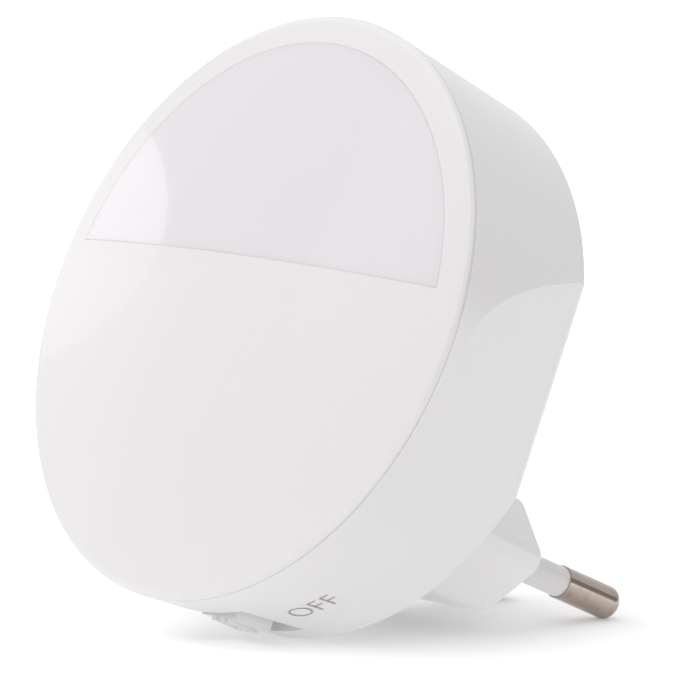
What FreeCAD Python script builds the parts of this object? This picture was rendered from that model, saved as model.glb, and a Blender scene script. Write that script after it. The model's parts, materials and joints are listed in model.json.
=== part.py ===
import FreeCAD, Part
import os
import re
import Sketcher
from FreeCAD import Placement, Rotation, Vector

# Plug-in night light with a round domed front, a half-moon light window, a slide
# switch under the rim and a two-pin plug. Millimetres.
#
# Every piece is drawn in the bench frame: x to the right, y up, z out of the wall
# towards the room, with the origin on the plug's end face, midway between the pins.
# The common placement then stands that frame up: +Z up, front towards -Y.

sizes = {
    # case
    "disc_lift": 16.0,         # axis of the round case above the axis of the plug
    "plug_height": 18.5,       # plug end face to the back of the case
    "case_depth": 20.6,        # back of the case to its lip
    "case_radius": 35.0,       # outside, at the lip
    "case_taper": 1.6,         # the back is smaller than the lip by this, all round
    "back_radius": "=case_radius - case_taper",
    "case_wall": 1.5,
    "flat_depth": 2.4,         # taken off each side by its flat, at the back
    "flat_reach": "=back_radius - flat_depth",
    "flat_start": 2.2,         # lip to the point where the flats run out
    "back_round": 2.0,
    "flat_trace": 0.3,         # depth of the inner flats where they reach the lip
    # front cover
    "band_height": 0.9,        # cover's visible side band, from the lip to the face
    "dome_height": 3.4,
    "rim_round": 0.8,
    "cover_wall": 2.0,
    "skirt_depth": 1.8,
    "skirt_wall": 1.4,
    "skirt_gap": 0.7,          # spigot to the inside of the lip
    "hook_depth": 6.0,
    "hook_width": 5.0,
    "hook_gap": 0.5,
    "barb_reach": 0.6,
    "barb_height": 1.2,
    # light window
    "window_margin": 3.5,      # rim of the case to the window
    "window_radius": "=case_radius - window_margin",
    "window_sill": 4.75,       # straight lower edge above the middle of the disc
    "ledge": 0.6,              # flange of the window behind the cover
    "ledge_wall": 1.0,
    # gaps
    "fit_gap": 0.1,            # between parts that are put together and stay
    "slide_gap": 0.15,         # each side of a sliding piece
    "end_play": 0.2,           # past each end of the slide
    "bite": 0.5,               # how far a feature starts inside the one that carries it
    "solder_stub": 0.7,        # of a leg, past the front of the board
    # plug
    "plug_half_width": 17.65,
    "plug_half_height": 6.85,
    "plug_flat_half": 10.5,    # half of the straight top edge of the end face
    "plug_flare": 2.4,         # growth of each half width at the case
    "plug_rise": 1.2,          # growth of each half height at the case
    "plug_corner": 2.2,
    "plug_edge": 0.6,
    "plug_wall": 2.0,
    "end_wall": 2.4,
    # pins
    "pin_spacing": 19.0,
    "pin_radius": 2.0,
    "pin_length": 19.0,
    "pin_bare": 9.0,
    "pin_nose": 1.1,           # rounding of the tip
    "core_radius": 1.4,        # under the sleeve
    "sleeve_radius": 1.83,
    "head_radius": 3.0,
    "head_height": 1.6,
    "spigot_radius": 1.1,
    "spigot_height": 1.6,
    # pin carrier
    "carrier_height": 3.2,
    "carrier_roof": 1.4,
    "head_room": 1.0,          # round each pin head
    "stud_wall": 1.2,
    "stud_depth": 0.9,         # pilot below the foot of the stud
    # board
    "board_stand": 12.9,       # back of the case to the back of the board
    "board_level": "=plug_height + board_stand",
    "board_wall": 1.6,
    "board_gap": 2.5,          # board to the wall of the case, at the back
    "board_radius": "=back_radius - case_wall - board_gap",
    "board_foot": 23.0,        # straight lower edge below the middle of the disc
    "post_inset": 3.0,
    "post_circle": "=board_radius - post_inset",
    "post_radius": 2.5,
    "post_angle": 215.0,       # of the lower left post
    "pilot_radius": 0.9,
    "pilot_depth": 6.0,
    "screw_radius": 1.1,
    "screw_head": 2.1,
    "screw_head_height": 1.5,
    "screw_length": 6.0,
    # lights and reflector
    "light_circle": 15.0,
    "light_step": 30.0,        # angle from one light to the next
    "light_width": 3.5,
    "light_height": 2.8,
    "light_wall": 0.9,
    "light_eye": 1.15,
    "reflector_wall": 1.2,
    "reflector_floor": 0.8,
    "reflector_inset": 2.4,    # inside the window's outline
    "reflector_lean": 12.0,    # slope of the inner walls, degrees
    "peg_radius": 0.9,
    "peg_inset": 5.0,
    "diffuser_wall": 1.0,
    "diffuser_lap": 0.6,       # past the rim of the reflector
    # parts behind the board
    "film_width": 13.0,
    "film_depth": 6.0,
    "film_room": 1.6,          # its end to the back wall
    "film_height": "=board_stand - case_wall - film_room",
    "film_pitch": 10.0,
    "film_side": 9.5,          # middle of the disc to its middle, leftwards
    "capacitor_lift": 12.0,
    "can_radius": 4.0,
    "can_room": 1.2,
    "can_height": "=board_stand - case_wall - can_room",
    "can_pitch": 3.5,
    "can_side": 10.0,
    "can_bead": 0.4,
    "bridge_width": 4.7,
    "bridge_depth": 3.9,
    "bridge_height": 2.5,
    "bridge_pitch": 2.54,
    "bridge_lift": 3.0,
    "bridge_leg": 0.6,
    "resistor_length": 9.0,
    "resistor_radius": 1.6,
    "resistor_side": 11.0,
    "resistor_lift": 1.0,
    "resistor_gap": 0.4,       # barrel to the board
    "lead_radius": 0.35,
    "lead_bend": 1.6,
    "strip_width": 3.6,
    "strip_wall": 0.5,
    "strip_joggle": 2.0,
    # slide switch
    "switch_rise": 10.0,       # back of the case to the middle of the switch
    "switch_level": "=plug_height + switch_rise",
    "recess_width": 16.0,
    "recess_height": 9.6,
    "recess_depth": 1.7,       # below the lowest line of the case
    "recess_wall": 1.5,
    "switch_width": 12.7,
    "switch_height": 6.6,
    "switch_depth": 6.2,
    "shell_wall": 0.4,
    "stem_width": 3.2,
    "stem_height": 3.0,
    "switch_travel": 4.0,
    "knob_width": 6.2,
    "knob_height": 5.6,
    "knob_proud": 0.5,         # knob's ridges below the lowest line of the case
    "knob_wall": 1.2,
    "ridge": 0.35,
    "terminal_pitch": 4.0,
    "terminal_width": 1.0,
    "terminal_wall": 0.6,
    "terminal_rise": 3.2,
    "slider_block": 2.2,
    "slider_lip": 1.0,
    "wiper_wall": 0.3,
    "wiper_tip": 0.8,
    "base_roof": 1.2,
}

doc = FreeCAD.newDocument("NightLight")
sheet = doc.addObject("Spreadsheet::Sheet", "Sizes")
for row, (alias, number) in enumerate(sizes.items(), 1):
    sheet.set(f"A{row}", alias.replace("_", " "))
    sheet.set(f"B{row}", str(number))
    sheet.setAlias(f"B{row}", alias)
doc.recompute()


def bind(text):
    return re.sub(r"[a-z][a-z_]*", lambda m: "Sizes." + m[0] if m[0] in sizes else m[0], text)


def value(text):
    return float(sheet.evalExpression(bind(text)))


# levels and radii that several pieces share
lip = "(plug_height + case_depth)"
rim = "(plug_height + case_depth + band_height)"
case_floor = "(plug_height + case_wall)"
board_front = "(board_level + board_wall)"
face_radius = "(case_radius - rim_round)"

NEAR = 0.01        # edges are picked by place, within this
NODES = []
STANDS = {}


def node(name):
    body = doc.addObject("PartDesign::Body", name)
    body.Label = name
    NODES.append(body)
    return body


def draw(body, plane, name, lift="0"):
    # a sketch on one of the body's own planes, lifted along the plane's normal
    sketch = body.newObject("Sketcher::SketchObject", name)
    support = next(f for f in body.Origin.OriginFeatures if f.Role == plane)
    sketch.AttachmentSupport = [(support, "")]
    sketch.MapMode = "FlatFace"
    sketch.setExpression("AttachmentOffset.Base.z", bind(lift))
    return sketch


def place(sketch, edge, end, x, y):
    for kind, text in (("DistanceX", x), ("DistanceY", y)):
        if text is None:
            continue
        index = sketch.addConstraint(Sketcher.Constraint(kind, -1, 1, edge, end, value(text)))
        sketch.setExpression(f"Constraints[{index}]", bind(text))


def outline(sketch, corners):
    # closed outline through the corners; a third entry gives the height of the centre
    # of an arc that runs from that corner to the next
    points = [Vector(value(c[0]), value(c[1]), 0) for c in corners]
    first = sketch.GeometryCount
    count = len(corners)
    for i, corner in enumerate(corners):
        start, end = points[i], points[(i + 1) % count]
        if len(corner) == 2:
            sketch.addGeometry(Part.LineSegment(start, end), False)
            continue
        centre = arc_centre(start, end, value(corner[2]))
        radius = (start - centre).Length
        towards = (start + end) / 2 - centre
        if towards.Length < 1e-6:
            towards = Vector(end.y - start.y, start.x - end.x, 0)
        middle = centre + towards * (radius / towards.Length)
        sketch.addGeometry(Part.Arc(start, middle, end), False)
    ends = [tips(sketch, first + i, points[i]) for i in range(count)]
    for i, corner in enumerate(corners):
        after = (i + 1) % count
        sketch.addConstraint(Sketcher.Constraint(
            "Coincident", first + i, ends[i][1], first + after, ends[after][0]))
        place(sketch, first + i, ends[i][0], corner[0], corner[1])
        if len(corner) == 3:
            place(sketch, first + i, 3, None, corner[2])


def tips(sketch, edge, start):
    # the numbers of an edge's first and last point; arcs are kept anticlockwise
    forward = (sketch.getPoint(edge, 1) - start).Length < (sketch.getPoint(edge, 2) - start).Length
    return (1, 2) if forward else (2, 1)


def arc_centre(start, end, height):
    middle = (start + end) / 2
    across = end - start
    return Vector(middle.x - (height - middle.y) * across.y / across.x, height, 0)


def box(sketch, x, y, width, height):
    left, right = f"({x})-({width})/2", f"({x})+({width})/2"
    low, high = f"({y})-({height})/2", f"({y})+({height})/2"
    outline(sketch, [(left, low), (right, low), (right, high), (left, high)])


def ring(sketch, x, y, radius):
    circle = Part.Circle(Vector(value(x), value(y), 0), Vector(0, 0, 1), value(radius))
    index = sketch.addGeometry(circle, False)
    place(sketch, index, 3, x, y)
    last = sketch.addConstraint(Sketcher.Constraint("Radius", index, value(radius)))
    sketch.setExpression(f"Constraints[{last}]", bind(radius))


def feature(body, kind, sketch, **settings):
    made = body.newObject("PartDesign::" + kind, body.Name + "_" + kind)
    if kind in ("Revolution", "Groove"):
        made.Profile = sketch
        made.ReferenceAxis = (sketch, ["V_Axis"])
        made.Angle = 360
    elif kind == "AdditiveLoft" or kind == "SubtractiveLoft":
        made.Profile = sketch[0]
        made.Sections = list(sketch[1:])
        made.Ruled = True
    else:
        made.Profile = sketch
    for key, setting in settings.items():
        if isinstance(setting, str) and key not in ("Type",):
            made.setExpression(key, bind(setting))
        else:
            setattr(made, key, setting)
    for used in (sketch if isinstance(sketch, tuple) else (sketch,)):
        used.Visibility = False
    return made


def pad(body, sketch, length, **settings):
    return feature(body, "Pad", sketch, Length=length, **settings)


def pocket(body, sketch, length, **settings):
    return feature(body, "Pocket", sketch, Length=length, **settings)


def soften(body, kind, radius, wanted):
    # rounds or bevels the edges that the test picks out
    doc.recompute()
    base = body.Tip
    names = [f"Edge{i}" for i, edge in enumerate(base.Shape.Edges, 1) if wanted(edge)]
    if not names:
        raise ValueError("no edges to soften on " + body.Name)
    made = body.newObject("PartDesign::" + kind, body.Name + "_" + kind)
    made.Base = (base, names)
    made.setExpression("Radius" if kind == "Fillet" else "Size", bind(radius))
    return made


def stand(body, x="0", y="0", z="0"):
    # the common placement: bench frame to standing frame
    body.Placement = Placement(Vector(value(x), -value(z), value(y)), Rotation(Vector(1, 0, 0), 90))
    for axis, text in (("x", x), ("y", f"-({z})"), ("z", y)):
        body.setExpression("Placement.Base." + axis, bind(text))


def quarter(sketch):
    # turns a sketch to the 45 degree line between the flats and the switch
    sketch.AttachmentOffset = Placement(sketch.AttachmentOffset.Base, Rotation(Vector(0, 1, 0), 45))


def four_times(body, made, profile):
    pattern = body.newObject("PartDesign::PolarPattern", made.Name + "_round")
    pattern.Originals = [made]
    pattern.Axis = (profile, ["V_Axis"])
    pattern.Angle = 360
    pattern.Occurrences = 4
    body.Tip = pattern


def level(edge, height):
    # an edge that lies wholly at one height of the bench frame
    return edge.BoundBox.ZLength < NEAR and abs(edge.BoundBox.ZMin - height) < NEAR


def upright(edge):
    # an edge that climbs straight from one height to another
    return edge.BoundBox.ZLength > 0.9 * edge.Length


def away(angle, radius):
    # a place on a circle around the axis of the case
    return f"({radius}) * cos({angle})", f"disc_lift + ({radius}) * sin({angle})"


def hexagon(sketch, grow, inset="0"):
    # the plug's outline, grown by a share of its flare and drawn in by a wall
    flat = f"plug_flat_half + ({grow}) * plug_flare - 0.5 * ({inset})"
    tip_x = f"plug_half_width + ({grow}) * plug_flare - 1.4 * ({inset})"
    top = f"plug_half_height + ({grow}) * plug_rise - ({inset})"
    outline(sketch, [(f"-({flat})", f"-({top})"), (flat, f"-({top})"), (tip_x, "0"),
                     (flat, top), (f"-({flat})", top), (f"-({tip_x})", "0")])


def half_moon(sketch, radius, sill, middle="disc_lift"):
    # the part of a disc above a straight sill
    reach = f"sqrt(({radius})^2 - ({sill})^2)"
    outline(sketch, [(f"-({reach})", f"({middle}) + ({sill})"), (reach, f"({middle}) + ({sill})", middle)])


# spheres of the domed face: outside and inside; the pole of each ends in a speck of flat
POLE = "0.05"
dome_radius = f"({face_radius}^2 + dome_height^2) / (2 * dome_height)"
dome_middle = f"({rim} + dome_height - {dome_radius})"
inner_radius = f"({dome_radius} - cover_wall)"
skirt_radius = "(case_radius - case_wall - skirt_gap)"


def dome_level(radius, sphere=dome_radius):
    return f"({dome_middle} + sqrt(({sphere})^2 - ({radius})^2))"


# rear case: tapered cup with two side flats, the hollow plug, posts and switch recess
case = node("rear_case")
cup = draw(case, "XZ_Plane", "cup_profile", "-disc_lift")
outline(cup, [("0", "plug_height"), ("back_radius - back_round", "plug_height", "plug_height + back_round"),
              ("back_radius", "plug_height + back_round"), ("case_radius", lip), ("0", lip)])
feature(case, "Revolution", cup)
flat_level = f"({lip} - flat_start)"
flat_top = "(back_radius + (case_radius - back_radius) * (case_depth - flat_start) / case_depth)"
flats = draw(case, "XZ_Plane", "side_flats")
for side in ("", "-"):
    outline(flats, [
        (f"{side}{flat_top}", flat_level),
        (f"{side}flat_reach", "plug_height + back_round", "plug_height + back_round"),
        (f"{side}(flat_reach - back_round)", "plug_height"),
        (f"{side}(flat_reach - back_round)", "plug_height - bite"),
        (f"{side}(2 * case_radius)", "plug_height - bite"), (f"{side}(2 * case_radius)", flat_level)])
pocket(case, flats, "6 * case_radius", Midplane=True)


def hollow_section(name, height, radius, reach):
    # inside of the case: a circle with its two sides cut flat
    section = draw(case, "XY_Plane", name, height)
    half = f"sqrt(({radius})^2 - ({reach})^2)"
    outline(section, [
        (reach, f"disc_lift + {half}", "disc_lift"), (f"-({reach})", f"disc_lift + {half}"),
        (f"-({reach})", f"disc_lift - {half}", "disc_lift"), (reach, f"disc_lift - {half}")])
    return section


floor_section = hollow_section("hollow_floor", case_floor, "back_radius - case_wall", "flat_reach - case_wall")
lip_section = hollow_section("hollow_lip", f"{lip}", "case_radius - case_wall",
                             "case_radius - case_wall - flat_trace")
feature(case, "SubtractiveLoft", (floor_section, lip_section))

end_face = draw(case, "XY_Plane", "plug_end")
hexagon(end_face, "0")
root_face = draw(case, "XY_Plane", "plug_root", "plug_height + case_wall / 2")
hexagon(root_face, "1 + case_wall / 2 / plug_height")
feature(case, "AdditiveLoft", (end_face, root_face))
below = value("plug_height / 2")
soften(case, "Fillet", "plug_corner",
       lambda e: e.BoundBox.ZMin < NEAR and e.BoundBox.ZMax > below)
soften(case, "Fillet", "plug_edge", lambda e: level(e, 0))
inner_end = draw(case, "XY_Plane", "plug_hollow_end", "end_wall")
hexagon(inner_end, "end_wall / plug_height", "plug_wall")
inner_root = draw(case, "XY_Plane", "plug_hollow_root", f"{case_floor} + bite")
hexagon(inner_root, f"({case_floor} + bite) / plug_height", "plug_wall")
feature(case, "SubtractiveLoft", (inner_end, inner_root))
holes = draw(case, "XY_Plane", "pin_holes", "end_wall + bite")
for side in ("", "-"):
    ring(holes, f"{side}pin_spacing / 2", "0", "sleeve_radius + fit_gap")
pocket(case, holes, "end_wall + 2 * bite")

posts = [away(a, "post_circle") for a in ("0", "180", "post_angle", "540 - post_angle")]
rest = away("90", "post_circle")
stubs = draw(case, "XY_Plane", "board_posts", f"{case_floor} - case_wall / 2")
for x, y in posts + [rest]:
    ring(stubs, x, y, "post_radius")
pad(case, stubs, f"board_level - {case_floor} + case_wall / 2")
pilots = draw(case, "XY_Plane", "screw_pilots", "board_level")
for x, y in posts:
    ring(pilots, x, y, "pilot_radius")
pocket(case, pilots, "pilot_depth")
plug_stud = draw(case, "XY_Plane", "carrier_stud", "end_wall - bite")
ring(plug_stud, "0", "0", "pilot_radius + stud_wall")
pad(case, plug_stud, "carrier_height - carrier_roof + bite")
stud_pilot = draw(case, "XY_Plane", "carrier_pilot", "end_wall + carrier_height - carrier_roof")
ring(stud_pilot, "0", "0", "pilot_radius")
pocket(case, stud_pilot, "carrier_height - carrier_roof + stud_depth")

low_line = "(disc_lift - (case_radius + back_radius) / 2)"
recess_floor = f"({low_line} + recess_depth)"
pad_top = f"({recess_floor} + recess_wall)"
block = draw(case, "XZ_Plane", "switch_block", f"-{pad_top}")
box(block, "0", "switch_level", "recess_width + bite", "recess_height + 2 * recess_wall")
pad(case, block, "recess_wall")
recess = draw(case, "XZ_Plane", "switch_recess", f"-{recess_floor}")
box(recess, "0", "switch_level", "recess_width", "recess_height")
pocket(case, recess, "4 * recess_depth", Reversed=True)
slot = draw(case, "XZ_Plane", "switch_slot", f"-{pad_top}")
box(slot, "0", "switch_level", "stem_width + switch_travel + 2 * end_play", "stem_height + 2 * slide_gap")
pocket(case, slot, "4 * recess_wall", Midplane=True)

catch = draw(case, "XZ_Plane", "hook_catch", "-disc_lift")
quarter(catch)
low_catch = f"({lip} - hook_depth - 2 * fit_gap)"
high_catch = f"({lip} - hook_depth + barb_height + 2 * fit_gap)"
deep_catch = f"({skirt_radius} + barb_reach + 2 * fit_gap)"
outline(catch, [("0.8 * case_radius", low_catch), (deep_catch, low_catch),
                (deep_catch, high_catch), ("0.8 * case_radius", high_catch)])
four_times(case, pocket(case, catch, "hook_width + 2 * hook_gap", Midplane=True), cup)

# front cover: domed disc with a rolled rim, a spigot and four snap hooks
cover = node("front_cover")
face = draw(cover, "XZ_Plane", "face_profile", "-disc_lift")
outline(face, [
    ("0", f"{rim} + dome_height"), (POLE, f"{rim} + dome_height", dome_middle), (face_radius, rim),
    (f"{face_radius} + 0.7 * rim_round", f"{rim} - 0.2 * rim_round"),
    ("case_radius", f"{rim} - 0.6 * rim_round"),
    ("case_radius", f"{lip} + fit_gap"), (skirt_radius, f"{lip} + fit_gap"),
    (skirt_radius, f"{lip} - skirt_depth"), (f"{skirt_radius} - skirt_wall", f"{lip} - skirt_depth"),
    (f"{skirt_radius} - skirt_wall", dome_level(f"{skirt_radius} - skirt_wall", inner_radius), dome_middle),
    (POLE, f"{rim} + dome_height - cover_wall"), ("0", f"{rim} + dome_height - cover_wall")])
feature(cover, "Revolution", face)
opening = draw(cover, "XY_Plane", "window_opening", f"{lip} - skirt_depth")
half_moon(opening, "window_radius", "window_sill")
pocket(cover, opening, "case_depth", Reversed=True)
barb = f"({skirt_radius} + barb_reach)"
hook = draw(cover, "XZ_Plane", "hook_profile", "-disc_lift")
quarter(hook)
outline(hook, [
    (f"{skirt_radius} - skirt_wall", f"{lip} - skirt_depth + bite"),
    (skirt_radius, f"{lip} - skirt_depth + bite"),
    (skirt_radius, f"{lip} - hook_depth + barb_height"),
    (barb, f"{lip} - hook_depth + barb_height - 2 * fit_gap"),
    (f"{skirt_radius} - barb_reach", f"{lip} - hook_depth"),
    (f"{skirt_radius} - skirt_wall", f"{lip} - hook_depth")])
four_times(cover, pad(cover, hook, "hook_width", Midplane=True), face)
seat_level = dome_level("window_radius", inner_radius)
ledge_seat = draw(cover, "XY_Plane", "ledge_seat", seat_level)
half_moon(ledge_seat, "window_radius + ledge", "window_sill")
pocket(cover, ledge_seat, "ledge_wall + skirt_depth")

# light window: clear half-moon that follows the dome, with a ledge behind the cover
window = node("light_window")
lens = draw(window, "XZ_Plane", "lens_profile", "-disc_lift")
edge = "(window_radius - fit_gap)"
inside = f"({inner_radius} - ledge_wall - fit_gap)"
outline(lens, [
    ("0", f"{rim} + dome_height"), (POLE, f"{rim} + dome_height", dome_middle), (edge, dome_level(edge)),
    (edge, f"{seat_level} - fit_gap"), (f"{edge} + ledge", f"{seat_level} - fit_gap"),
    (f"{edge} + ledge", f"{seat_level} - fit_gap - ledge_wall"),
    (f"{edge} - ledge", dome_level(f"{edge} - ledge", inside), dome_middle),
    (POLE, f"{dome_middle} + {inside}"), ("0", f"{dome_middle} + {inside}")])
feature(window, "Revolution", lens)
sill_cut = draw(window, "XY_Plane", "sill_cut", lip + " - case_depth / 2")
box(sill_cut, "0", "disc_lift + window_sill + fit_gap - case_radius", "3 * case_radius", "2 * case_radius")
pocket(window, sill_cut, "case_depth", Reversed=True)

# circuit board on its four posts
board = node("circuit_board")
disc = draw(board, "XY_Plane", "board_outline", "board_level")
ring(disc, "0", "disc_lift", "board_radius")
pad(board, disc, "board_wall")
foot = draw(board, "XY_Plane", "board_foot", "board_level")
box(foot, "0", "disc_lift - board_foot - board_radius", "3 * board_radius", "2 * board_radius")
pocket(board, foot, "2 * board_wall", Reversed=True)
drills = draw(board, "XY_Plane", "board_holes", "board_level")
for x, y in posts:
    ring(drills, x, y, "screw_radius + fit_gap")
pegs = [away(a, "board_radius - peg_inset") for a in ("35", "145")]
for x, y in pegs:
    ring(drills, x, y, "peg_radius + fit_gap")
for side in ("", "-"):
    box(drills, f"{side}pin_spacing / 2", "0", "strip_wall + 4 * fit_gap", "strip_width + 2 * fit_gap")
terminal_y = f"({pad_top} + switch_depth + terminal_rise)"
for step in (-1, 0, 1):
    box(drills, f"{step} * terminal_pitch", f"{terminal_y} - terminal_wall / 2",
        "terminal_width + 2 * fit_gap", "terminal_wall + 2 * fit_gap")
lead_pitch = "resistor_length + 2 * lead_bend - 2 * lead_radius"
LEGS = {
    "film_capacitor": ("-film_side", "disc_lift + capacitor_lift", "film_pitch"),
    "smoothing_capacitor": ("can_side", "disc_lift + capacitor_lift", "can_pitch"),
    "fuse_resistor": ("-resistor_side", "disc_lift + resistor_lift", lead_pitch),
    "bleed_resistor": ("resistor_side", "disc_lift + resistor_lift", lead_pitch),
}
for x, y, pitch in LEGS.values():
    for side in ("", "-"):
        ring(drills, f"{x} + {side}({pitch}) / 2", y, "1.5 * lead_radius + fit_gap / 2")
pocket(board, drills, "2 * board_wall", Reversed=True)

# four light chips on the front of the board
for number in range(4):
    chip = node(f"led_{number + 1}")
    angle = f"90 + ({number} - 1.5) * light_step"
    package = draw(chip, "XY_Plane", "package")
    box(package, "0", "0", "light_width", "light_height")
    pad(chip, package, "light_wall")
    eye = draw(chip, "XY_Plane", "eye", "light_wall")
    ring(eye, "0", "0", "light_eye")
    pocket(chip, eye, "light_wall / 3")
    STANDS[chip.Name] = (*away(angle, "light_circle"), board_front)

# reflector tray round the lights, open towards the window
tray = node("reflector")
tray_top = f"({seat_level} - ledge_wall - diffuser_wall - 2 * fit_gap)"
tray_out = draw(tray, "XY_Plane", "tray_outline", board_front)
half_moon(tray_out, "window_radius - reflector_inset", "window_sill - reflector_inset / 2")
pad(tray, tray_out, f"{tray_top} - {board_front}")
tray_in = draw(tray, "XY_Plane", "tray_hollow", f"{board_front} + reflector_floor")
lean = f"(({tray_top} - {board_front} - reflector_floor) * tan(reflector_lean))"
half_moon(tray_in, f"window_radius - reflector_inset - reflector_wall - {lean}",
          f"window_sill - reflector_inset / 2 + reflector_wall + {lean}")
tray_mouth = draw(tray, "XY_Plane", "tray_mouth", f"{tray_top} + 0.01")
half_moon(tray_mouth, "window_radius - reflector_inset - reflector_wall",
          "window_sill - reflector_inset / 2 + reflector_wall")
feature(tray, "SubtractiveLoft", (tray_in, tray_mouth))
eyes = draw(tray, "XY_Plane", "light_holes", board_front)
for number in range(4):
    x, y = away(f"90 + ({number} - 1.5) * light_step", "light_circle")
    box(eyes, x, y, "light_width + 4 * fit_gap", "light_height + 4 * fit_gap")
pocket(tray, eyes, "2 * reflector_floor", Reversed=True)
studs = draw(tray, "XY_Plane", "tray_pegs", board_front)
for x, y in pegs:
    ring(studs, x, y, "peg_radius")
pad(tray, studs, "board_wall", Reversed=True)

# diffuser sheet on the rim of the reflector
sheet_piece = node("diffuser")
opal = draw(sheet_piece, "XY_Plane", "diffuser_outline", f"{tray_top} + fit_gap")
half_moon(opal, "window_radius - reflector_inset + diffuser_lap", "window_sill - reflector_inset / 2")
pad(sheet_piece, opal, "diffuser_wall")

# contact pins with their sleeves, held from inside by the pin carrier
for hand, side in (("left", "-"), ("right", "")):
    pin = node(f"pin_{hand}")
    turned = draw(pin, "XZ_Plane", "pin_profile")
    outline(turned, [
        ("0", "-pin_length"), ("pin_radius - pin_nose", "-pin_length", "-pin_length + pin_nose"),
        ("pin_radius", "-pin_length + pin_nose"), ("pin_radius", "-pin_length + pin_bare"),
        ("core_radius", "-pin_length + pin_bare"), ("core_radius", "end_wall"),
        ("head_radius", "end_wall"), ("head_radius", "end_wall + head_height"),
        ("spigot_radius", "end_wall + head_height"),
        ("spigot_radius", "end_wall + head_height + spigot_height"),
        ("0", "end_wall + head_height + spigot_height")])
    feature(pin, "Revolution", turned)
    STANDS[pin.Name] = (f"{side}pin_spacing / 2", "0", "0")
    sleeve = node(f"pin_sleeve_{hand}")
    tube = draw(sleeve, "XY_Plane", "sleeve_ring", "-pin_length + pin_bare")
    ring(tube, "0", "0", "sleeve_radius")
    ring(tube, "0", "0", "core_radius + fit_gap / 2")
    pad(sleeve, tube, "pin_length - pin_bare + end_wall - fit_gap")
    STANDS[sleeve.Name] = (f"{side}pin_spacing / 2", "0", "0")
    strip = node(f"contact_strip_{hand}")
    bent = draw(strip, "XZ_Plane", "strip_profile")
    foot_z = "end_wall + head_height"
    outline(bent, [
        ("-head_radius", foot_z), ("head_radius", foot_z), ("head_radius", f"{foot_z} + strip_wall"),
        ("-head_radius + strip_wall", f"{foot_z} + strip_wall"),
        ("-head_radius + strip_wall", "board_level - 2 * strip_joggle"),
        ("strip_wall / 2", "board_level - strip_joggle"), ("strip_wall / 2", f"{board_front} + solder_stub"),
        ("-strip_wall / 2", f"{board_front} + solder_stub"),
        ("-strip_wall / 2", "board_level - strip_joggle + 0.4 * strip_wall"),
        ("-head_radius", "board_level - 2 * strip_joggle + 0.4 * strip_wall")])
    pad(strip, bent, "strip_width", Midplane=True)
    eyelet = draw(strip, "XY_Plane", "strip_eyelet", foot_z)
    ring(eyelet, "0", "0", "spigot_radius + fit_gap / 2")
    pocket(strip, eyelet, "2 * strip_wall", Reversed=True)
    STANDS[strip.Name] = (f"{side}pin_spacing / 2", "0", "0")

carrier = node("pin_carrier")
plate = draw(carrier, "XY_Plane", "carrier_outline", "end_wall + carrier_height - carrier_roof")
box(plate, "0", "0", "pin_spacing + 2 * head_room", "2 * (head_radius + head_room)")
pad(carrier, plate, "carrier_roof")
seats = draw(carrier, "XY_Plane", "pin_seats", "end_wall + carrier_height - carrier_roof")
for side in ("", "-"):
    box(seats, f"{side}pin_spacing / 2", "0", "2 * (head_radius + head_room)", "strip_width + 4 * fit_gap")
ring(seats, "0", "0", "screw_radius + fit_gap")
pocket(carrier, seats, "2 * carrier_roof", Reversed=True)


def screw(name, places, seat, length):
    # pan-head screws; identical ones share the node as separate solids
    group = doc.addObject("Part::Compound", name)
    group.Label = name
    links = []
    for x, y in places:
        shank = doc.addObject("Part::Cylinder", name + "_shank")
        shank.setExpression("Radius", bind("pilot_radius - fit_gap / 2"))
        shank.setExpression("Height", bind(length))
        head = doc.addObject("Part::Cylinder", name + "_head")
        head.setExpression("Radius", bind("screw_head"))
        head.setExpression("Height", bind("screw_head_height"))
        for solid, z in ((shank, f"{seat} - ({length})"), (head, seat)):
            for axis, text in (("x", x), ("y", y), ("z", z)):
                solid.setExpression("Placement.Base." + axis, bind(text))
        joined = doc.addObject("Part::Fuse", name + "_one")
        joined.Base = shank
        joined.Tool = head
        links.append(joined)
    group.Links = links
    NODES.append(group)


screw("board_screws", posts, board_front, "screw_length")
screw("carrier_screw", [("0", "0")], "end_wall + carrier_height", "carrier_height + bite")

# parts soldered behind the board; each hangs from the board on its own legs
def legs(body):
    wires = draw(body, "XY_Plane", "legs", "-bite")
    for side in ("", "-"):
        ring(wires, f"{side}({LEGS[body.Name][2]}) / 2", "0", "lead_radius")
    pad(body, wires, "board_wall + bite")


film = node("film_capacitor")
block = draw(film, "XY_Plane", "film_outline")
box(block, "0", "0", "film_width", "film_depth")
pad(film, block, "film_height", Reversed=True)
soften(film, "Fillet", "lead_bend / 2", upright)
legs(film)
STANDS[film.Name] = (*LEGS[film.Name][:2], "board_level")

can = node("smoothing_capacitor")
turned = draw(can, "XZ_Plane", "can_profile")
outline(turned, [
    ("0", "0"), ("can_radius", "0"), ("can_radius", "-3 * can_bead"),
    ("can_radius - can_bead", "-4 * can_bead"),
    ("can_radius", "-5 * can_bead"), ("can_radius", "-can_height + can_bead"),
    ("can_radius - can_bead", "-can_height"), ("0", "-can_height")])
feature(can, "Revolution", turned)
legs(can)
STANDS[can.Name] = (*LEGS[can.Name][:2], "board_level")

bridge = node("bridge_rectifier")
mould = draw(bridge, "XY_Plane", "bridge_outline", "-fit_gap")
box(mould, "0", "0", "bridge_width", "bridge_depth")
pad(bridge, mould, "bridge_height", Reversed=True)
feet = draw(bridge, "XY_Plane", "bridge_feet")
for side in ("", "-"):
    for end in ("", "-"):
        box(feet, f"{end}bridge_pitch / 2", f"{side}(bridge_depth + bridge_leg) / 2",
            "bridge_leg", "2 * bridge_leg")
pad(bridge, feet, "bridge_height / 3", Reversed=True)
STANDS[bridge.Name] = ("0", "disc_lift + bridge_lift", "board_level")

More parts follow.
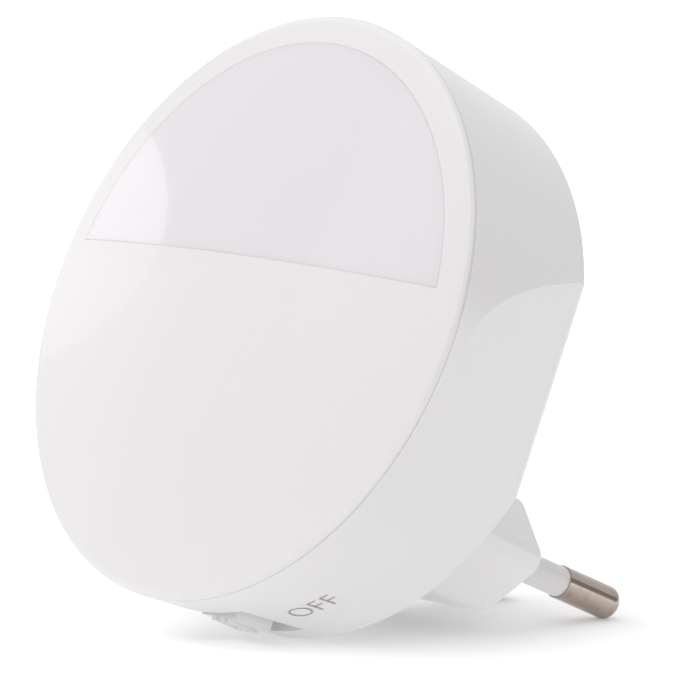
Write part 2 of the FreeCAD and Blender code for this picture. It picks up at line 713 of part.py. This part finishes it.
for name in ("fuse_resistor", "bleed_resistor"):
    resistor = node(name)
    barrel = draw(resistor, "YZ_Plane", "barrel")
    ring(barrel, "0", "-resistor_radius - resistor_gap", "resistor_radius")
    pad(resistor, barrel, "resistor_length", Midplane=True)
    soften(resistor, "Fillet", "resistor_radius / 3", lambda e: e.BoundBox.XLength < NEAR)
    arms = draw(resistor, "XZ_Plane", "arms")
    drop, reach = "-resistor_radius - resistor_gap", "resistor_length / 2 + lead_bend"
    start = "resistor_length / 2 - bite"
    for side in ("", "-"):
        outline(arms, [
            (f"{side}({start})", f"{drop} - lead_radius"), (f"{side}({reach})", f"{drop} - lead_radius"),
            (f"{side}({reach})", "board_wall + solder_stub"),
            (f"{side}({reach} - 2 * lead_radius)", "board_wall + solder_stub"),
            (f"{side}({reach} - 2 * lead_radius)", f"{drop} + lead_radius"),
            (f"{side}({start})", f"{drop} + lead_radius")])
    pad(resistor, arms, "2 * lead_radius", Midplane=True)
    STANDS[resistor.Name] = (*LEGS[name][:2], "board_level")

# slide switch: moulded base, metal shell, terminals, and the stem and knob that slide
shell_low = f"({pad_top} + fit_gap)"
base_low = f"({shell_low} + shell_wall)"
base_top = f"({shell_low} + switch_depth)"
slider_width, slider_height = "(stem_width + 2 * slider_lip)", "(stem_height + slider_lip)"

base = node("switch_base")
core = draw(base, "XZ_Plane", "base_outline", f"-{base_low}")
box(core, "0", "switch_level", "switch_width - 2 * shell_wall - fit_gap",
    "switch_height - 2 * shell_wall - fit_gap")
pad(base, core, "switch_depth - shell_wall", Reversed=True)
channel = draw(base, "XZ_Plane", "base_channel", f"-{base_low}")
box(channel, "0", "switch_level", f"{slider_width} + switch_travel + 2 * end_play",
    f"{slider_height} + 2 * slide_gap")
pocket(base, channel, "switch_depth - shell_wall - base_roof")
vents = draw(base, "XZ_Plane", "terminal_slots", f"-{base_top}")
for step in (-1, 0, 1):
    box(vents, f"{step} * terminal_pitch", "switch_level",
        "terminal_width + fit_gap", "terminal_wall + fit_gap")
pocket(base, vents, "2 * base_roof", Midplane=True)

shell = node("switch_shell")
skin = draw(shell, "XZ_Plane", "shell_outline", f"-{shell_low}")
box(skin, "0", "switch_level", "switch_width", "switch_height")
pad(shell, skin, "switch_depth", Reversed=True)
inside = draw(shell, "XZ_Plane", "shell_hollow", f"-{base_top}")
box(inside, "0", "switch_level", "switch_width - 2 * shell_wall", "switch_height - 2 * shell_wall")
pocket(shell, inside, "switch_depth - shell_wall", Reversed=True)
mouth = draw(shell, "XZ_Plane", "shell_mouth", f"-{shell_low}")
box(mouth, "0", "switch_level", "stem_width + switch_travel + 2 * end_play", "stem_height + 2 * slide_gap")
pocket(shell, mouth, "4 * shell_wall", Midplane=True)

for name, step in (("left", -1), ("middle", 0), ("right", 1)):
    terminal = node("terminal_" + name)
    bent = draw(terminal, "YZ_Plane", "terminal_profile")
    outline(bent, [
        (f"{base_top} - base_roof", "switch_level - terminal_wall / 2"),
        (terminal_y, "switch_level - terminal_wall / 2"), (terminal_y, f"{board_front} + solder_stub"),
        (f"{terminal_y} - terminal_wall", f"{board_front} + solder_stub"),
        (f"{terminal_y} - terminal_wall", "switch_level + terminal_wall / 2"),
        (f"{base_top} - base_roof", "switch_level + terminal_wall / 2")])
    pad(terminal, bent, "terminal_width", Midplane=True)
    STANDS[terminal.Name] = (f"{step} * terminal_pitch", "0", "0")

# the sliding group stands at OFF, towards +X
off = "(switch_travel / 2)"
stem = node("switch_stem")
slider = draw(stem, "XZ_Plane", "slider_block", f"-({base_low} + slide_gap)")
box(slider, "0", "switch_level", slider_width, slider_height)
pad(stem, slider, "slider_block", Reversed=True)
post = draw(stem, "XZ_Plane", "stem_outline", f"-({base_low} + slide_gap)")
box(post, "0", "switch_level", "stem_width", "stem_height")
stem_tip = f"({recess_floor} - slide_gap - knob_wall)"
pad(stem, post, f"{base_low} + slide_gap - {stem_tip}")
STANDS[stem.Name] = (off, "0", "0")

wiper = node("switch_wiper")
leaf = draw(wiper, "XY_Plane", "wiper_profile", "switch_level")
wiper_low = f"({base_low} + slide_gap + slider_block)"
half = "(terminal_pitch + wiper_tip) / 2"
arm_top = f"{base_top} - base_roof - slide_gap"
outline(leaf, [
    (f"-{half}", wiper_low), (half, wiper_low), (half, arm_top), (f"{half} - wiper_tip", arm_top),
    (f"{half} - 1.5 * wiper_tip", f"{wiper_low} + wiper_wall"),
    (f"-({half} - 1.5 * wiper_tip)", f"{wiper_low} + wiper_wall"),
    (f"-({half} - wiper_tip)", arm_top), (f"-{half}", arm_top)])
pad(wiper, leaf, "stem_height / 2", Midplane=True)
STANDS[wiper.Name] = (off, "0", "0")

knob = node("switch_knob")
knob_top = f"({recess_floor} - slide_gap)"
knob_low = f"({low_line} - knob_proud)"
button = draw(knob, "XZ_Plane", "knob_outline", f"-{knob_top}")
box(button, "0", "switch_level", "knob_width", "knob_height")
pad(knob, button, f"{knob_top} - {knob_low} - ridge")
socket = draw(knob, "XZ_Plane", "knob_socket", f"-{knob_top}")
box(socket, "0", "switch_level", "stem_width + fit_gap", "stem_height + fit_gap")
pocket(knob, socket, "knob_wall + fit_gap / 2", Reversed=True)
soften(knob, "Fillet", "ridge", lambda e: e.BoundBox.XLength < NEAR and e.BoundBox.ZLength < NEAR
       and abs(abs(e.BoundBox.XMin) - value("knob_width / 2")) < NEAR)
ridges = draw(knob, "XZ_Plane", "knob_ridges", f"-({knob_low} + ridge)")
for step in (-1, 0, 1):
    box(ridges, f"{step} * 4 * ridge", "switch_level", "2 * ridge", "knob_height - 4 * ridge")
pad(knob, ridges, "ridge")
STANDS[knob.Name] = (off, "0", "0")

for body in NODES:
    stand(body, *STANDS.get(body.Name, ("0", "0", "0")))
doc.recompute()

faults = [f"{item.Name}: {item.getStatusString()}" for item in doc.Objects
          if "Invalid" in item.State or "Error" in item.State]
faults += [body.Label for body in NODES if body.Shape.isNull() or not body.Shape.isValid()]
if faults:
    raise SystemExit("failed: " + "; ".join(faults))

os.makedirs("parts", exist_ok=True)
for body in NODES:
    body.Shape.exportStep(f"parts/{body.Label}.step")
print(len(NODES), "nodes written")
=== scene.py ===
import json
import math

import bpy
from mathutils import Matrix, Vector


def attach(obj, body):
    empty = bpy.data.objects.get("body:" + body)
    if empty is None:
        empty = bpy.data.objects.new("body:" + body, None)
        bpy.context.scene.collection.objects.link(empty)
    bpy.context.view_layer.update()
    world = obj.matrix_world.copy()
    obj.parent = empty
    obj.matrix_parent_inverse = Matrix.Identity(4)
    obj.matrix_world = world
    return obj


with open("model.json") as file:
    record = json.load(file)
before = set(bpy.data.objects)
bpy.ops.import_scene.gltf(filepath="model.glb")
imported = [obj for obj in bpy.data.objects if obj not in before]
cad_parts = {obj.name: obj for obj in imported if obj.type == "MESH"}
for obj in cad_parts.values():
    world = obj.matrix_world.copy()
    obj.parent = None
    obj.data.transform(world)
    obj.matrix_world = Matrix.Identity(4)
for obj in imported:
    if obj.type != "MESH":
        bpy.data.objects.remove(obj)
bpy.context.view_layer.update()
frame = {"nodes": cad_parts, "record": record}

# Plug-in night light: materials for the frame's pieces, the printed ON and OFF beside the
# switch, and the white table with soft studio light, a painted shadow and a painted glow near the
# light. Metres, front towards -Y.

mm = 0.001
nodes = frame["nodes"]


# shared node groups

def newGroup(name, inputs, outputs):
    group = bpy.data.node_groups.new(name, "ShaderNodeTree")
    for label, kind, start in inputs:
        socket = group.interface.new_socket(label, in_out="INPUT", socket_type="NodeSocket" + kind)
        socket.default_value = start
    for label, kind in outputs:
        group.interface.new_socket(label, in_out="OUTPUT", socket_type="NodeSocket" + kind)
    entry = group.nodes.new("NodeGroupInput")
    leave = group.nodes.new("NodeGroupOutput")
    return group, entry, leave


def addNode(tree, kind, **settings):
    made = tree.nodes.new("ShaderNode" + kind)
    for key, setting in settings.items():
        if hasattr(made, key):
            setattr(made, key, setting)
        else:
            made.inputs[key].default_value = setting
    return made


def anyRay(tree, labels):
    # 1 for a ray of one of these kinds, else 0
    rays = addNode(tree, "LightPath")
    result = rays.outputs[labels[0]]
    for label in labels[1:]:
        either = addNode(tree, "Math", operation="MAXIMUM")
        tree.links.new(result, either.inputs[0])
        tree.links.new(rays.outputs[label], either.inputs[1])
        result = either.outputs[0]
    return result


def moulding():
    # fine orange peel, slow waviness and a faint mottle, as on injection-moulded plastic
    group, entry, leave = newGroup(
        "moulding",
        [("Color", "Color", (0.8, 0.8, 0.8, 1)), ("Mottle", "Float", 0.02), ("Roughness", "Float", 0.3),
         ("Spread", "Float", 0.05), ("Grain", "Float", 1500.0), ("Peel", "Float", 0.05)],
        [("Color", "Color"), ("Roughness", "Float"), ("Height", "Float")])
    link = group.links.new
    place = addNode(group, "TexCoord")
    slow = addNode(group, "TexNoise", Scale=45.0, Detail=2.0)
    fine = addNode(group, "TexNoise", Detail=3.0)
    link(place.outputs["Object"], slow.inputs["Vector"])
    link(place.outputs["Object"], fine.inputs["Vector"])
    link(entry.outputs["Grain"], fine.inputs["Scale"])
    swing = addNode(group, "MapRange", **{"To Min": -1})
    link(slow.outputs["Fac"], swing.inputs["Value"])
    amount = addNode(group, "Math", operation="MULTIPLY_ADD")
    link(swing.outputs["Result"], amount.inputs[0])
    link(entry.outputs["Mottle"], amount.inputs[1])
    amount.inputs[2].default_value = 1
    tinted = addNode(group, "VectorMath", operation="SCALE")
    link(entry.outputs["Color"], tinted.inputs[0])
    link(amount.outputs[0], tinted.inputs["Scale"])
    link(tinted.outputs[0], leave.inputs["Color"])
    rough = addNode(group, "Math", operation="MULTIPLY_ADD")
    link(swing.outputs["Result"], rough.inputs[0])
    link(entry.outputs["Spread"], rough.inputs[1])
    link(entry.outputs["Roughness"], rough.inputs[2])
    link(rough.outputs[0], leave.inputs["Roughness"])
    height = addNode(group, "Math", operation="MULTIPLY")
    link(fine.outputs["Fac"], height.inputs[0])
    link(entry.outputs["Peel"], height.inputs[1])
    link(height.outputs[0], leave.inputs["Height"])
    return group


def drawnMetal():
    # streaks along Y, as on turned and plated pins, with small dull spots
    group, entry, leave = newGroup(
        "drawnMetal",
        [("Color", "Color", (0.6, 0.6, 0.6, 1)), ("Dark", "Color", (0.3, 0.3, 0.3, 1)), ("Roughness", "Float", 0.3)],
        [("Color", "Color"), ("Roughness", "Float"), ("Height", "Float")])
    link = group.links.new
    place = addNode(group, "TexCoord")
    stretch = addNode(group, "Mapping")
    stretch.inputs["Scale"].default_value = (1, 0.06, 1)
    link(place.outputs["Object"], stretch.inputs["Vector"])
    streaks = addNode(group, "TexNoise", Scale=2600.0, Detail=3.0)
    link(stretch.outputs[0], streaks.inputs["Vector"])
    spots = addNode(group, "TexNoise", Scale=700.0, Detail=4.0)
    link(place.outputs["Object"], spots.inputs["Vector"])
    mask = addNode(group, "MapRange", **{"From Min": 0.45, "From Max": 0.75})
    link(spots.outputs["Fac"], mask.inputs["Value"])
    shade = addNode(group, "Math", operation="MULTIPLY")
    link(mask.outputs["Result"], shade.inputs[0])
    link(streaks.outputs["Fac"], shade.inputs[1])
    blend = addNode(group, "Mix", data_type="RGBA")
    link(shade.outputs[0], blend.inputs["Factor"])
    link(entry.outputs["Color"], blend.inputs[6])
    link(entry.outputs["Dark"], blend.inputs[7])
    link(blend.outputs[2], leave.inputs["Color"])
    rough = addNode(group, "Math", operation="MULTIPLY_ADD")
    link(mask.outputs["Result"], rough.inputs[0])
    rough.inputs[1].default_value = 0.06
    link(entry.outputs["Roughness"], rough.inputs[2])
    link(rough.outputs[0], leave.inputs["Roughness"])
    link(streaks.outputs["Fac"], leave.inputs["Height"])
    return group


mouldingGroup = moulding()
metalGroup = drawnMetal()


# materials

def plastic(name, look):
    made = bpy.data.materials.new(name)
    made.use_nodes = True
    tree = made.node_tree
    shader = tree.nodes["Principled BSDF"]
    group = tree.nodes.new("ShaderNodeGroup")
    group.node_tree = mouldingGroup
    group.inputs["Color"].default_value = (*look["color"], 1)
    for key in ("Mottle", "Roughness", "Spread", "Grain", "Peel"):
        if key.lower() in look:
            group.inputs[key].default_value = look[key.lower()]
    bump = addNode(tree, "Bump", Strength=look.get("bump", 0.1), Distance=0.0001)
    link = tree.links.new
    link(group.outputs["Color"], shader.inputs["Base Color"])
    link(group.outputs["Roughness"], shader.inputs["Roughness"])
    link(group.outputs["Height"], bump.inputs["Height"])
    link(bump.outputs["Normal"], shader.inputs["Normal"])
    shader.inputs["IOR"].default_value = look.get("ior", 1.5)
    shader.inputs["Coat Weight"].default_value = look.get("coat", 0)
    shader.inputs["Coat Roughness"].default_value = look.get("coatRoughness", 0.05)
    shader.inputs["Subsurface Weight"].default_value = look.get("milk", 0)
    shader.inputs["Subsurface Radius"].default_value = (1, 1, 1)
    shader.inputs["Subsurface Scale"].default_value = look.get("milkDepth", 0.001)
    return made


def metal(name, look):
    made = bpy.data.materials.new(name)
    made.use_nodes = True
    tree = made.node_tree
    shader = tree.nodes["Principled BSDF"]
    group = tree.nodes.new("ShaderNodeGroup")
    group.node_tree = metalGroup
    group.inputs["Color"].default_value = (*look["color"], 1)
    group.inputs["Dark"].default_value = (*look["dark"], 1)
    group.inputs["Roughness"].default_value = look["roughness"]
    bump = addNode(tree, "Bump", Strength=look.get("bump", 0.05), Distance=0.0001)
    link = tree.links.new
    link(group.outputs["Color"], shader.inputs["Base Color"])
    link(group.outputs["Roughness"], shader.inputs["Roughness"])
    link(group.outputs["Height"], bump.inputs["Height"])
    link(bump.outputs["Normal"], shader.inputs["Normal"])
    shader.inputs["Metallic"].default_value = 1
    return made


caseLook = {"color": (0.82, 0.81, 0.82), "roughness": 0.28, "mottle": 0.0, "spread": 0.0, "peel": 0.5,
            "grain": 900.0, "bump": 0.05, "coat": 0.06, "coatRoughness": 0.12}
coverLook = {"color": (0.775, 0.76, 0.775), "roughness": 0.36, "mottle": 0.006, "spread": 0.0, "peel": 0.5,
             "grain": 900.0, "bump": 0.04, "coat": 0.5, "coatRoughness": 0.06}
windowLook = {"color": (0.745, 0.725, 0.755), "roughness": 0.1, "mottle": 0.004, "spread": 0.0, "peel": 0.3,
              "grain": 600.0, "bump": 0.02, "coat": 1.0, "coatRoughness": 0.03, "milk": 0.2, "milkDepth": 0.002}
knobLook = {"color": (0.88, 0.88, 0.88), "roughness": 0.15, "mottle": 0.01, "coat": 0.8, "bump": 0.05}
sleeveLook = {"color": (0.70, 0.69, 0.69), "roughness": 0.35, "mottle": 0.02, "bump": 0.05, "coat": 0.2}
boardLook = {"color": (0.04, 0.16, 0.07), "roughness": 0.35, "mottle": 0.15}
ledLook = {"color": (0.85, 0.72, 0.30), "roughness": 0.4, "mottle": 0.05}
trayLook = {"color": (0.86, 0.86, 0.85), "roughness": 0.6, "mottle": 0.02}
opalLook = {"color": (0.84, 0.84, 0.84), "roughness": 0.5, "mottle": 0.02, "milk": 0.5}
carrierLook = {"color": (0.72, 0.71, 0.68), "roughness": 0.5, "mottle": 0.03}
filmLook = {"color": (0.60, 0.38, 0.04), "roughness": 0.3, "mottle": 0.05}
canLook = {"color": (0.015, 0.015, 0.02), "roughness": 0.3, "mottle": 0.1}
mouldLook = {"color": (0.02, 0.02, 0.02), "roughness": 0.6, "mottle": 0.2}
resistorLook = {"color": (0.42, 0.30, 0.15), "roughness": 0.45, "mottle": 0.1}
inkLook = {"color": (0.36, 0.33, 0.32), "roughness": 0.55, "mottle": 0.08, "bump": 0.02}
pinLook = {"color": (0.48, 0.41, 0.36), "dark": (0.32, 0.26, 0.22), "roughness": 0.16, "bump": 0.03}
stripLook = {"color": (0.70, 0.50, 0.20), "dark": (0.35, 0.24, 0.10), "roughness": 0.35}
steelLook = {"color": (0.55, 0.55, 0.56), "dark": (0.30, 0.30, 0.30), "roughness": 0.35}

finishes = {
    "case_white": plastic("caseWhite", caseLook), "cover_white": plastic("coverWhite", coverLook),
    "window_milky": plastic("windowMilky", windowLook), "knob_white": plastic("knobWhite", knobLook),
    "sleeve_white": plastic("sleeveWhite", sleeveLook), "board_green": plastic("boardGreen", boardLook),
    "led_cream": plastic("ledCream", ledLook), "tray_white": plastic("trayWhite", trayLook),
    "diffuser_opal": plastic("diffuserOpal", opalLook), "carrier_white": plastic("carrierWhite", carrierLook),
    "film_yellow": plastic("filmYellow", filmLook), "can_black": plastic("canBlack", canLook),
    "mould_black": plastic("mouldBlack", mouldLook), "resistor_beige": plastic("resistorBeige", resistorLook),
    "switch_black": plastic("switchBlack", mouldLook), "pin_nickel": metal("pinNickel", pinLook),
    "strip_brass": metal("stripBrass", stripLook), "screw_steel": metal("screwSteel", steelLook),
    "shell_steel": metal("shellSteel", steelLook), "terminal_tin": metal("terminalTin", steelLook),
}
for part in frame["record"]["subparts"]:
    piece = nodes[part["node"]]
    for slot in piece.material_slots:
        slot.material = finishes[part["material_slot"]]
print("materials ready")


# printed words beside the switch

case = {"discLift": 16 * mm, "lipRadius": 35 * mm, "backRadius": 33.4 * mm, "backY": -20.5 * mm, "depth": 18.6 * mm}
words = {"inkLift": 0.03 * mm, "middleY": -29.0 * mm, "height": 2.7 * mm, "thinner": -0.022, "curveSteps": 4, "cuts": 2,
         "entries": {"OFF": (-64.7, 6.9 * mm), "ON": (-115.3, 4.8 * mm)}}
inkPaint = plastic("greyInk", inkLook)


def printWord(text, angle, width):
    bpy.ops.object.select_all(action="DESELECT")
    bpy.ops.object.text_add()
    word = bpy.context.object
    word.name = "printed_" + text.lower()
    word.data.body = text
    word.data.align_x = "CENTER"
    word.data.offset = words["thinner"]
    word.data.resolution_u = words["curveSteps"]
    bpy.ops.object.convert(target="MESH")
    bpy.ops.object.mode_set(mode="EDIT")
    bpy.ops.mesh.select_all(action="SELECT")
    bpy.ops.mesh.quads_convert_to_tris()
    bpy.ops.mesh.subdivide(number_cuts=words["cuts"])
    bpy.ops.object.mode_set(mode="OBJECT")
    points = word.data.vertices
    low = Vector([min(p.co[i] for p in points) for i in range(2)])
    high = Vector([max(p.co[i] for p in points) for i in range(2)])
    for point in points:
        along = ((point.co.x - low.x) / (high.x - low.x) - 0.5) * width
        up = ((point.co.y - low.y) / (high.y - low.y) - 0.5) * words["height"]
        y = words["middleY"] - up
        grown = (case["backY"] - y) / case["depth"] * (case["lipRadius"] - case["backRadius"])
        radius = case["backRadius"] + grown + words["inkLift"]
        turn = math.radians(angle) + along / radius
        point.co = (radius * math.cos(turn), y, case["discLift"] + radius * math.sin(turn))
    word.data.materials.append(inkPaint)
    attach(word, "lamp")
    return word


for text, (angle, width) in words["entries"].items():
    printWord(text, angle, width)
print("printed words ready")


# weld beads that close the joints of the cover with its window and with the case

bead = {"rimY": -40 * mm, "dome": 3.4 * mm, "faceRadius": 34.2 * mm, "windowRadius": 31.45 * mm,
        "sill": 4.8 * mm, "depth": 0.06 * mm, "thick": 0.058 * mm, "arcSteps": 160, "sillSteps": 40}
seam = {"radius": 34.9 * mm, "y": -39.15 * mm, "thick": 0.048 * mm, "steps": 240}
sphere = (bead["faceRadius"] ** 2 + bead["dome"] ** 2) / (2 * bead["dome"])


def layBead(name, path, thick, finish):
    line = bpy.data.curves.new(name, "CURVE")
    line.dimensions = "3D"
    line.bevel_depth = thick
    line.bevel_resolution = 2
    run = line.splines.new("POLY")
    run.points.add(len(path) - 1)
    for point, spot in zip(run.points, path):
        point.co = (*spot, 1)
    run.use_cyclic_u = True
    weld = bpy.data.objects.new(name, line)
    bpy.context.collection.objects.link(weld)
    line.materials.append(finishes[finish])
    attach(weld, "lamp")
    return weld


def onDome(x, z):
    level = bead["dome"] - sphere + math.sqrt(sphere ** 2 - x ** 2 - z ** 2)
    return x, bead["rimY"] - level + bead["depth"], case["discLift"] + z


start = math.asin(bead["sill"] / bead["windowRadius"])
reach = bead["windowRadius"] * math.cos(start)
path = []
for step in range(bead["arcSteps"]):
    angle = start + (math.pi - 2 * start) * step / bead["arcSteps"]
    path.append(onDome(bead["windowRadius"] * math.cos(angle), bead["windowRadius"] * math.sin(angle)))
for step in range(bead["sillSteps"]):
    path.append(onDome(-reach + 2 * reach * step / bead["sillSteps"], bead["sill"]))
layBead("window_weld", path, bead["thick"], "cover_white")

circle = []
for step in range(seam["steps"]):
    angle = 2 * math.pi * step / seam["steps"]
    circle.append((seam["radius"] * math.cos(angle), seam["y"], case["discLift"] + seam["radius"] * math.sin(angle)))
layBead("rim_weld", circle, seam["thick"], "case_white")
print("weld beads ready")


# table with painted shadow and painted glow near the night light, backdrop and light

# the table carries painted shade and light: camera rays see it lifted to white only away from the shade point, and
# other rays see it glow near the night light
table = {"lean": 21.95, "caseY": -20.5 * mm, "caseZ": -15.4 * mm, "caseRound": 2.0 * mm, "reach": 0.9, "white": 0.86,
         "shade": (-0.003, 0.004, -0.007),
         "paintedShadowFade": {"From Min": 0.004, "From Max": 0.088, "To Min": 0.0, "To Max": 1.0},
         "paintedGlowFade": {"From Min": 0.02, "From Max": 0.09, "To Min": 0.32, "To Max": 0.0}}
lean = math.radians(table["lean"])
tableUp = Vector((0, -math.sin(lean), math.cos(lean)))
touch = Vector((0, table["caseY"], table["caseZ"])) - tableUp * table["caseRound"]

bpy.ops.object.select_all(action="DESELECT")
bpy.ops.mesh.primitive_grid_add(x_subdivisions=2, y_subdivisions=2, size=2 * table["reach"])
floor = bpy.context.object
floor.name = "tableTop"
floor.data.transform(Matrix.Translation(touch) @ tableUp.to_track_quat("Z", "Y").to_matrix().to_4x4())

floorPaint = bpy.data.materials.new("tableWhite")
floorPaint.use_nodes = True
tree = floorPaint.node_tree
tree.nodes.clear()
out = addNode(tree, "OutputMaterial")
matt = addNode(tree, "BsdfDiffuse")
matt.inputs["Color"].default_value = (table["white"], table["white"], table["white"], 1)
lift = addNode(tree, "Emission")
lift.inputs["Color"].default_value = (1, 1, 1, 1)
seen = anyRay(tree, ("Is Camera Ray", "Is Glossy Ray", "Is Transmission Ray"))
spot = addNode(tree, "NewGeometry")
far = addNode(tree, "VectorMath", operation="DISTANCE")
far.inputs[1].default_value = table["shade"]
tree.links.new(spot.outputs["Position"], far.inputs[0])
# painted shadow: the lamps cast a real shadow, and on top of it the white lift seen by camera, glossy and transmission
# rays is withheld within 4 mm of the shade point under the plug and returns fully only 88 mm away, so the floor is
# darker near the light
paintedShadowMask = addNode(tree, "MapRange", **table["paintedShadowFade"])
tree.links.new(far.outputs["Value"], paintedShadowMask.inputs["Value"])
glow = addNode(tree, "Mix")
# painted fill light: for all other rays the table glows with strength 0.32 within 2 cm of the shade point, fading to
# none at 9 cm, and this glow lights the night light's underside though the table is no lamp
paintedGlow = addNode(tree, "MapRange", **table["paintedGlowFade"])
tree.links.new(far.outputs["Value"], paintedGlow.inputs["Value"])
tree.links.new(paintedGlow.outputs["Result"], glow.inputs[2])
tree.links.new(seen, glow.inputs[0])
tree.links.new(paintedShadowMask.outputs["Result"], glow.inputs[3])
tree.links.new(glow.outputs[0], lift.inputs["Strength"])
both = addNode(tree, "AddShader")
tree.links.new(matt.outputs[0], both.inputs[0])
tree.links.new(lift.outputs[0], both.inputs[1])
clear = addNode(tree, "BsdfTransparent")
side = addNode(tree, "NewGeometry")
pick = addNode(tree, "MixShader")
tree.links.new(side.outputs["Backfacing"], pick.inputs[0])
tree.links.new(both.outputs[0], pick.inputs[1])
tree.links.new(clear.outputs[0], pick.inputs[2])
tree.links.new(pick.outputs[0], out.inputs["Surface"])
floor.data.materials.append(floorPaint)

room = {"dimSide": (0.62, 0.64, 0.46), "shine": 0.16,
        "dim": {"From Min": 0.2, "From Max": 0.9, "To Min": 0.86, "To Max": 0.66},
        "dark": {"From Min": 0.965, "From Max": 0.985, "To Min": 1.0, "To Max": 0.4}}
world = bpy.data.worlds.new("studio")
bpy.context.scene.world = world
world.use_nodes = True
tree = world.node_tree
tree.nodes.clear()
out = addNode(tree, "OutputWorld")
dome = addNode(tree, "Background")
sky = addNode(tree, "TexCoord")
facing = addNode(tree, "VectorMath", operation="DOT_PRODUCT")
facing.inputs[1].default_value = Vector(room["dimSide"]).normalized()
tree.links.new(sky.outputs["Generated"], facing.inputs[0])
shade = addNode(tree, "MapRange", interpolation_type="SMOOTHSTEP", **room["dim"])
dark = addNode(tree, "MapRange", interpolation_type="SMOOTHSTEP", **room["dark"])
level = addNode(tree, "Math", operation="MULTIPLY")
tree.links.new(facing.outputs["Value"], shade.inputs["Value"])
tree.links.new(facing.outputs["Value"], dark.inputs["Value"])
tree.links.new(shade.outputs["Result"], level.inputs[0])
tree.links.new(dark.outputs["Result"], level.inputs[1])
shine = addNode(tree, "Math", operation="MULTIPLY_ADD")
shine.inputs[1].default_value = room["shine"]
shine.inputs[2].default_value = 1
tree.links.new(anyRay(tree, ("Is Glossy Ray",)), shine.inputs[0])
shown = addNode(tree, "Math", operation="MULTIPLY")
tree.links.new(level.outputs[0], shown.inputs[0])
tree.links.new(shine.outputs[0], shown.inputs[1])
tree.links.new(shown.outputs[0], dome.inputs["Strength"])
dome.inputs["Color"].default_value = (1, 0.99, 0.995, 1)
white = addNode(tree, "Background")
white.inputs["Strength"].default_value = 1.0
white.inputs["Color"].default_value = (1, 1, 1, 1)
choose = addNode(tree, "MixShader")
tree.links.new(anyRay(tree, ("Is Camera Ray", "Is Transmission Ray")), choose.inputs[0])
tree.links.new(dome.outputs[0], choose.inputs[1])
tree.links.new(white.outputs[0], choose.inputs[2])
tree.links.new(choose.outputs[0], out.inputs["Surface"])

discMiddle = Vector((0, bead["rimY"], case["discLift"]))
lampDistance = 0.9


def softbox(name, direction, size, power, shape):
    lamp = bpy.data.lights.new(name, "AREA")
    lamp.shape = shape
    lamp.size, lamp.size_y = size
    lamp.energy = power
    holder = bpy.data.objects.new(name, lamp)
    bpy.context.collection.objects.link(holder)
    away = Vector(direction).normalized()
    holder.location = discMiddle + away * lampDistance
    holder.rotation_euler = away.to_track_quat("Z", "Y").to_euler()
    return holder


lamps = {
    "leftPanel": {"direction": (-0.956, -0.239, 0.169), "size": (0.449, 0.199), "power": 0.15, "shape": "ELLIPSE"},
    "lowPanel": {"direction": (-0.940, -0.342, 0.009), "size": (0.383, 0.269), "power": 0.08, "shape": "RECTANGLE"},
    "topPanel": {"direction": (-0.45, -0.40, 0.80), "size": (0.9, 0.9), "power": 1.6, "shape": "RECTANGLE"},
    "frontPanel": {"direction": (0.38, -0.88, 0.08), "size": (0.3, 0.4), "power": 0.9, "shape": "RECTANGLE"},
    "windowGlow": {"direction": (-0.555, -0.779, 0.292), "size": (0.2, 0.36), "power": 0.04, "shape": "RECTANGLE"},
}
for name, lamp in lamps.items():
    softbox(name, **lamp)
print("stage ready")


# camera: as the photograph was taken

view = {"place": (0.6118, -0.5428, -0.0983), "right": (0.6478, 0.6973, 0.3068), "up": (-0.0970, -0.3239, 0.9411),
        "back": (0.7556, -0.6394, -0.1422), "lens": 374.0}
camera = bpy.data.objects.new("photoCamera", bpy.data.cameras.new("photoCamera"))
bpy.context.collection.objects.link(camera)
turn = Matrix((view["right"], view["up"], view["back"])).transposed()
camera.matrix_world = Matrix.Translation(view["place"]) @ turn.to_4x4()
camera.data.sensor_width = 36
camera.data.lens = view["lens"]
camera.data.clip_start = 0.01
bpy.context.scene.camera = camera
bpy.context.scene.view_settings.view_transform = "Standard"

print("camera ready")
